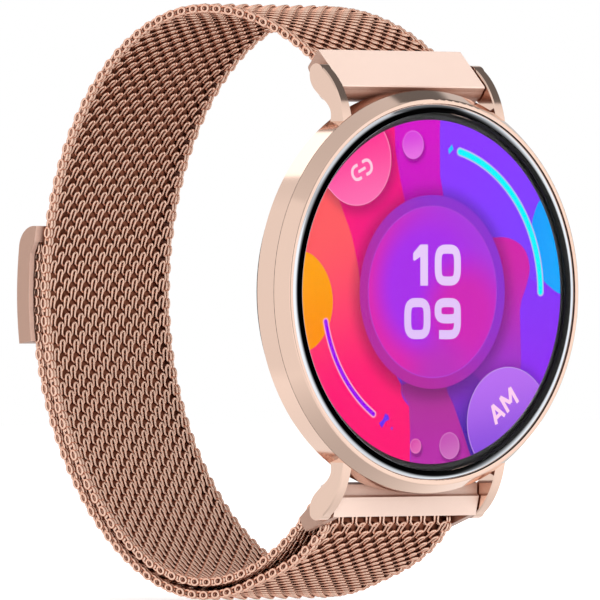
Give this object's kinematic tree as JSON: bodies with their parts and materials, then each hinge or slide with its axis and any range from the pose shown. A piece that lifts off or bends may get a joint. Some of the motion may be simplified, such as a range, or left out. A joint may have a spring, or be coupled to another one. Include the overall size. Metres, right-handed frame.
{
  "type": "smartwatch",
  "caption": "Round smartwatch with a domed-edge glass, slim case, sprung lug bars and a woven metal band that threads a slotted ring and closes with a magnetic tab.",
  "frame": {"origin": "centre of the sensor window's outer face on the case back, where the watch rests on the wrist", "axes": "+X to 3 o'clock, +Z to 12 o'clock, +Y out of the case back towards the wrist; the display faces -Y"},
  "size_m": [0.0438, 0.0582, 0.0641],
  "materials": {
    "case_metal": "polished rose gold plating",
    "band_metal": "rose gold plated wire",
    "fitting_metal": "polished rose gold plating",
    "bar_steel": "ground steel",
    "glass": "clear, polished",
    "display": "lit panel",
    "seal": "matt",
    "back_plastic": "satin",
    "frame_plastic": "matt",
    "window": "gloss",
    "board": "solder mask",
    "chip": "matt",
    "cell": "foil pouch",
    "foam": "foam",
    "contact": "gold flash",
    "magnet": "nickel plated",
    "flex": "polyimide",
    "led": "clear"
  },
  "bodies": {
    "case": {"bezel_ring": "case_metal", "mid_case": "case_metal", "case_back": "back_plastic", "cover_glass": "glass", "glass_seal": "seal", "display_panel": "display", "back_seal": "seal", "inner_frame": "frame_plastic", "main_board": "board", "board_chips": "chip", "battery": "cell", "battery_pad": "foam", "vibration_motor": "bar_steel", "antenna_strip": "flex", "display_flex": "flex", "sensor_board": "board", "sensor_leds": "led", "sensor_window": "window", "charge_contacts": "contact", "back_screws": "bar_steel", "button_switch": "frame_plastic", "upper_bar_tube": "bar_steel", "upper_bar_fixed_tip": "bar_steel", "upper_bar_spring": "bar_steel", "lower_bar_tube": "bar_steel", "lower_bar_fixed_tip": "bar_steel", "lower_bar_spring": "bar_steel"},
    "side_button": {"side_button": "case_metal", "button_clip": "bar_steel", "button_seal": "seal"},
    "upper_plunger": {"upper_bar_plunger": "bar_steel"},
    "lower_plunger": {"lower_bar_plunger": "bar_steel"},
    "upper_band": {"upper_connector": "fitting_metal", "upper_mesh": "band_metal"},
    "back_band": {"back_mesh": "band_metal"},
    "lower_band": {"lower_mesh": "band_metal", "fold_mesh": "band_metal", "lower_tail_mesh": "band_metal"},
    "tail": {"tail_mesh": "band_metal"},
    "tab": {"tail_end_mesh": "band_metal", "tab_shell": "fitting_metal", "tab_magnets": "magnet"},
    "ring": {"lower_ring": "fitting_metal"}
  },
  "joints": [
    {"name": "upper_band_hinge", "type": "hinge", "parent": "case", "child": "upper_band", "pos_m": [0, -0.0043, 0.0223], "axis": [1, 0, 0], "range_deg": [-10, 10]},
    {"name": "back_band_flex", "type": "hinge", "parent": "upper_band", "child": "back_band", "pos_m": [0, 0.03667, 0.02143], "axis": [1, 0, 0], "range_deg": [-11, 11]},
    {"name": "lower_band_flex", "type": "hinge", "parent": "back_band", "child": "lower_band", "pos_m": [0, 0.03629, -0.02169], "axis": [1, 0, 0], "range_deg": [-11, 11]},
    {"name": "tail_flex", "type": "hinge", "parent": "lower_band", "child": "tail", "pos_m": [0, 0.03629, -0.02169], "axis": [1, 0, 0], "range_deg": [-11, 11]},
    {"name": "tab_peel", "type": "hinge", "parent": "tail", "child": "tab", "pos_m": [0, 0.04411, -0.01242], "axis": [-1, 0, 0], "range_deg": [0, 70]},
    {"name": "ring_hinge", "type": "hinge", "parent": "case", "child": "ring", "pos_m": [0, -0.0043, -0.0223], "axis": [1, 0, 0], "range_deg": [-10.5, 10.5]},
    {"name": "button_press", "type": "slide", "parent": "case", "child": "side_button", "axis": [-1, 0, 0], "range_m": [0, 0.0004], "stiffness_N_per_m": 800, "springref_m": -0.0005},
    {"name": "upper_release", "type": "slide", "parent": "case", "child": "upper_plunger", "axis": [-1, 0, 0], "range_m": [0, 0.0012], "stiffness_N_per_m": 300, "springref_m": -0.001, "deforming": ["upper_bar_spring"]},
    {"name": "lower_release", "type": "slide", "parent": "case", "child": "lower_plunger", "axis": [-1, 0, 0], "range_m": [0, 0.0012], "stiffness_N_per_m": 300, "springref_m": -0.001, "deforming": ["lower_bar_spring"]}
  ],
  "couplings": [
    {"joint": "back_band_flex", "follows": "upper_band_hinge", "ratio": -1.035},
    {"joint": "lower_band_flex", "follows": "upper_band_hinge", "ratio": 1.046},
    {"joint": "tail_flex", "follows": "upper_band_hinge", "ratio": -1.046},
    {"joint": "ring_hinge", "follows": "upper_band_hinge", "ratio": 1}
  ]
}
